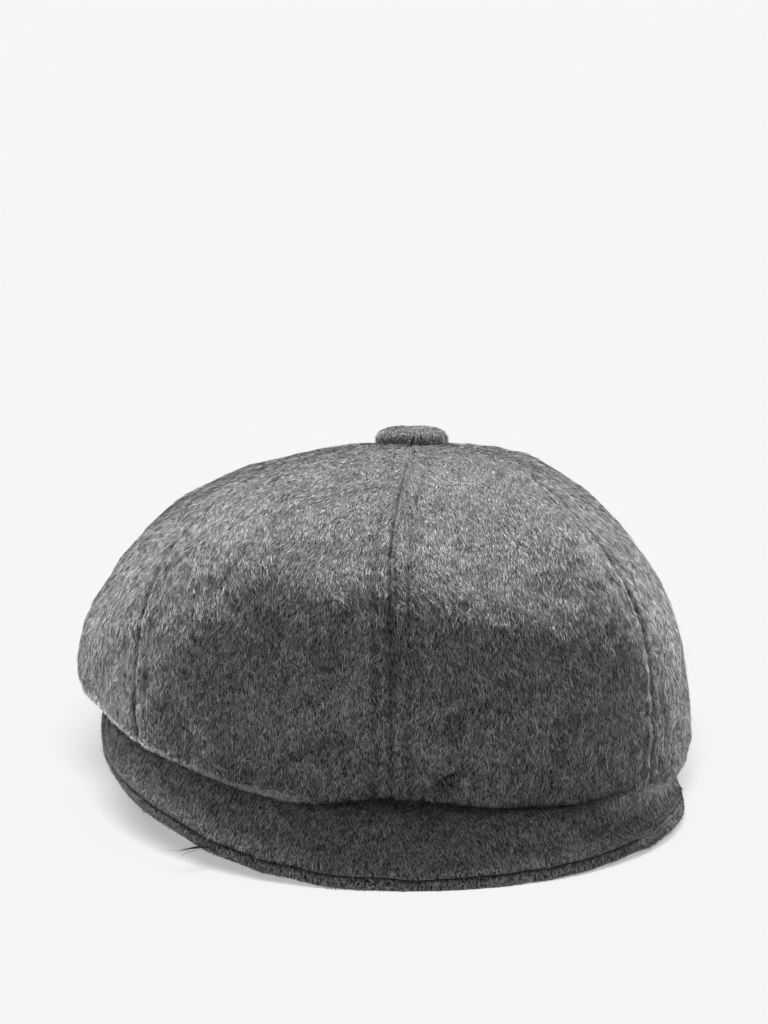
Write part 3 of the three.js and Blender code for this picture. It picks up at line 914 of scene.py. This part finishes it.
# group, kind, cloth, weights, hairs per square millimetre, length, width, rise, spread, shift, evenness
NAP = (
    ("crown", spikes, crown, crown_weights, 6.2, 1.9, 0.17, 0.11, crown_spread, crown_painted_shade, 0.18 * on_top),
    ("crown", curls, crown, crown_weights, 0.3, 2.4, 0.17, 0.16, crown_spread + 0.1, crown_painted_shade, 0.0),
    ("peak", spikes, upper, upper_weights, 7.0, 2.5, 0.17, 0.1, 0.22, upper_tone_and_painted_light, 0.0),
    ("peak", curls, upper, upper_weights, 0.8, 2.8, 0.16, 0.14, 0.35, upper_tone_and_painted_light, 0.0),
    ("peak", spikes, upper, rim_weights, 6.0, 0.9, 0.18, 0.1, 0.6, upper_tone_and_painted_light, 0.0),
    ("peak", curls, lower, lower_weights, 3.4, 1.1, 0.16, 0.1, 0.9, lower_tone_and_painted_shade, 0.0),
    ("crown", spikes, band, 1.0, 2.4, 1.7, 0.2, 0.1, 0.5, 0.0, 0.0),
    ("crown", spikes, button, 1.0, 7.0, 1.5, 0.18, 0.16, 0.5, 0.1, 0.0),
)
for row in NAP:
    grow(*row)

# Fine stray hairs that stand off the cloth, and more of them along the fold over the band: group, cloth,
# weights, hairs per square millimetre
STRAYS = (
    ("crown", crown, clear_of_button, 0.3),
    ("crown", crown, hump(WAYS, 0.78, 0.05) * clear_of_button, 0.8),
    ("peak", upper, upper_weights, 0.5),
    ("crown", button, 1.0, 0.8),
)
for group, cloth, weights, per_mm2 in STRAYS:
    roots, n, d, _ = sample(cloth, weights, per_mm2)
    hairs = spikes(roots, n, d, length=1.6, width=0.09, rise=0.32, spread=0.6)
    nap[group]["ash"].append(hairs)

# Painted highlight: paler hairs along the fold's edge where it lies on the peak's left side, where the edge
# catches the side light
azimuths = np.concatenate([panel["azimuth"][:-1] for panel in PANELS])
highlit_left_lip = smooth(azimuths, 283, 300) * (1 - smooth(azimuths, 338, 352))
roots, n, d, _ = sample(crown, hump(WAYS, 0.775, 0.022) * highlit_left_lip, per_mm2=16)
nap["crown"]["pale"].append(curls(roots, n, d, length=1.8, width=0.22, rise=0.4, spread=0.9))

# A small tuft of loose hairs at the peak's left edge
TUFT_PLACE, TUFT_HAIRS = -0.37, 16
tuft_root = peak_point(TUFT_PLACE, 1.0) + np.array([0, -2.2, 0.3])
tuft = tuft_root + rng.normal(0, 1, (TUFT_HAIRS, 3)) * np.array([0.8, 0.3, 0.3])
tuft_up = np.broadcast_to(UP, tuft.shape)
tuft_way = np.broadcast_to(unit(np.array([-1.0, -0.25, 0])), tuft.shape)
hairs = curls(tuft, tuft_up, tuft_way, length=12.0, width=0.34, rise=-0.1, spread=0.06)
nap["peak"]["black"].append(hairs)

for group, slot in (("crown", "crown_cloth"), ("peak", "peak_cloth")):
    for tone, batches in nap[group].items():
        corners = np.concatenate([c for c, _ in batches])
        corners[:, 2] = corners[:, 2].clip(HAIR_FLOOR)
        starts = np.cumsum([0] + [len(c) for c, _ in batches[:-1]])
        faces = np.concatenate([f + start for (_, f), start in zip(batches, starts)])
        piece = finish_mesh(f"{group}_nap_{tone}", corners, faces, FIBRES[tone], in_shade=group == "peak")

# Stage: floor, backdrop, camera and light

STAGE_HALF, STAGE_TALL, STAGE_SIDES = 14.0, 4.0, 96
BACKDROP_GLOW = 0.9
FLOOR_GLOW = 0.44
FLOOR_ALBEDO = 0.08
FLOOR_SUN = 31.2
FLOOR_SUN_HEIGHT, FLOOR_SUN_WIDTH = 34.0, 22.0


def stage_material(name, colour, glow):
    material, _, _, shader = new_material(name, specular=0)
    shader.inputs["Base Color"].default_value = (colour, colour, colour, 1)
    shader.inputs["Roughness"].default_value = 1
    shader.inputs["Emission Color"].default_value = (1, 1, 1, 1)
    shader.inputs["Emission Strength"].default_value = glow
    return material


def stage_piece(name, vertices, faces, material):
    mesh = bpy.data.meshes.new(name)
    mesh.from_pydata(vertices, [], faces)
    mesh.materials.append(material)
    piece = bpy.data.objects.new(name, mesh)
    bpy.context.scene.collection.objects.link(piece)
    return piece


def make_stage():
    """A wide floor with a round wall about it. It returns the floor."""
    half, sides = STAGE_HALF, STAGE_SIDES
    corners = [(-half, -half, 0), (half, -half, 0), (half, half, 0), (-half, half, 0)]
    pale_floor = stage_material("pale_floor", FLOOR_ALBEDO, FLOOR_GLOW)
    floor = stage_piece("floor", corners, [(0, 1, 2, 3)], pale_floor)
    turns = [2 * math.pi * k / sides for k in range(sides)]
    ring = [(half * math.cos(turn), half * math.sin(turn)) for turn in turns]
    vertices = [(x, y, -0.01) for x, y in ring] + [(x, y, STAGE_TALL) for x, y in ring]
    faces = [(k, sides + k, sides + (k + 1) % sides, (k + 1) % sides) for k in range(sides)]
    wall = stage_piece("backdrop", vertices, faces, stage_material("pale_backdrop", 0.0, BACKDROP_GLOW))
    return floor


def sun_on(floor):
    """A wide soft sun from the front that lights the floor alone and keeps the cap's shadow close to it."""
    only = bpy.data.collections.new("lit_floor")
    only.objects.link(floor)
    light = bpy.data.lights.new("floor_sun", "SUN")
    light.energy = FLOOR_SUN
    light.angle = math.radians(FLOOR_SUN_WIDTH)
    lamp = bpy.data.objects.new("floor_sun", light)
    lamp.rotation_euler = (math.radians(90 - FLOOR_SUN_HEIGHT), 0, 0)
    bpy.context.scene.collection.objects.link(lamp)
    lamp.light_linking.receiver_collection = only


# The lamps are narrow beams: name, place, width and height, target, spread in degrees, power on all pieces
# and further power on the crown, band and button. Places are in metres.
LAMPS = (
    ("top_softbox", (-0.12, 0.52, 1.5), (1.2, 0.2), (-0.02, -0.15, 0.06), 21, 2.6, 2.8),
    ("left_strip", (-1.05, 0.62, 0.22), (0.1, 0.35), (-0.1, -0.14, 0.06), 20, 0.2, 1.05),
    ("right_strip", (0.85, 0.95, 0.22), (0.1, 0.35), (0.1, -0.14, 0.06), 20, 0.75, 0.7),
)
LAMP_COLOUR = (0.985, 0.99, 1.0)


def area_light(name, place, size, target, spread, power, pieces):
    light = bpy.data.lights.new(name, "AREA")
    light.shape = "RECTANGLE"
    light.size, light.size_y = size
    light.energy = power
    light.color = LAMP_COLOUR
    light.spread = math.radians(spread)
    lamp = bpy.data.objects.new(name, light)
    lamp.location = place
    lamp.rotation_euler = (Vector(target) - lamp.location).to_track_quat("-Z", "Y").to_euler()
    bpy.context.scene.collection.objects.link(lamp)
    lamp.light_linking.receiver_collection = pieces


sun_on(make_stage())
for name, place, size, target, spread, power, crown_power in LAMPS:
    area_light(name, place, size, target, spread, power, LIT)
    area_light(name + "_crown", place, size, target, spread, crown_power, LIT_CROWN)

WORLD_COLOUR = (1, 1, 0.98, 1)
WORLD_STRENGTH = 0.46
world = bpy.data.worlds.new("studio")
bpy.context.scene.world = world
world.use_nodes = True
world.node_tree.nodes["Background"].inputs["Color"].default_value = WORLD_COLOUR
world.node_tree.nodes["Background"].inputs["Strength"].default_value = WORLD_STRENGTH

# The camera looks along +Y and CAMERA_DOWN degrees down. Its place is in metres.
CAMERA_PLACE = (-0.00063, -1.36573, 0.33906)
CAMERA_DOWN = 10.0
CAMERA_SENSOR, CAMERA_LENS, CAMERA_FAR = 36, 142.66, 60
camera_data = bpy.data.cameras.new("camera")
camera_data.sensor_width = CAMERA_SENSOR
camera_data.lens = CAMERA_LENS
camera_data.clip_end = CAMERA_FAR
camera = bpy.data.objects.new("camera", camera_data)
camera.location = CAMERA_PLACE
camera.rotation_euler = (math.radians(90 - CAMERA_DOWN), 0, 0)
bpy.context.scene.collection.objects.link(camera)
bpy.context.scene.camera = camera
bpy.context.scene.view_settings.view_transform = "Standard"
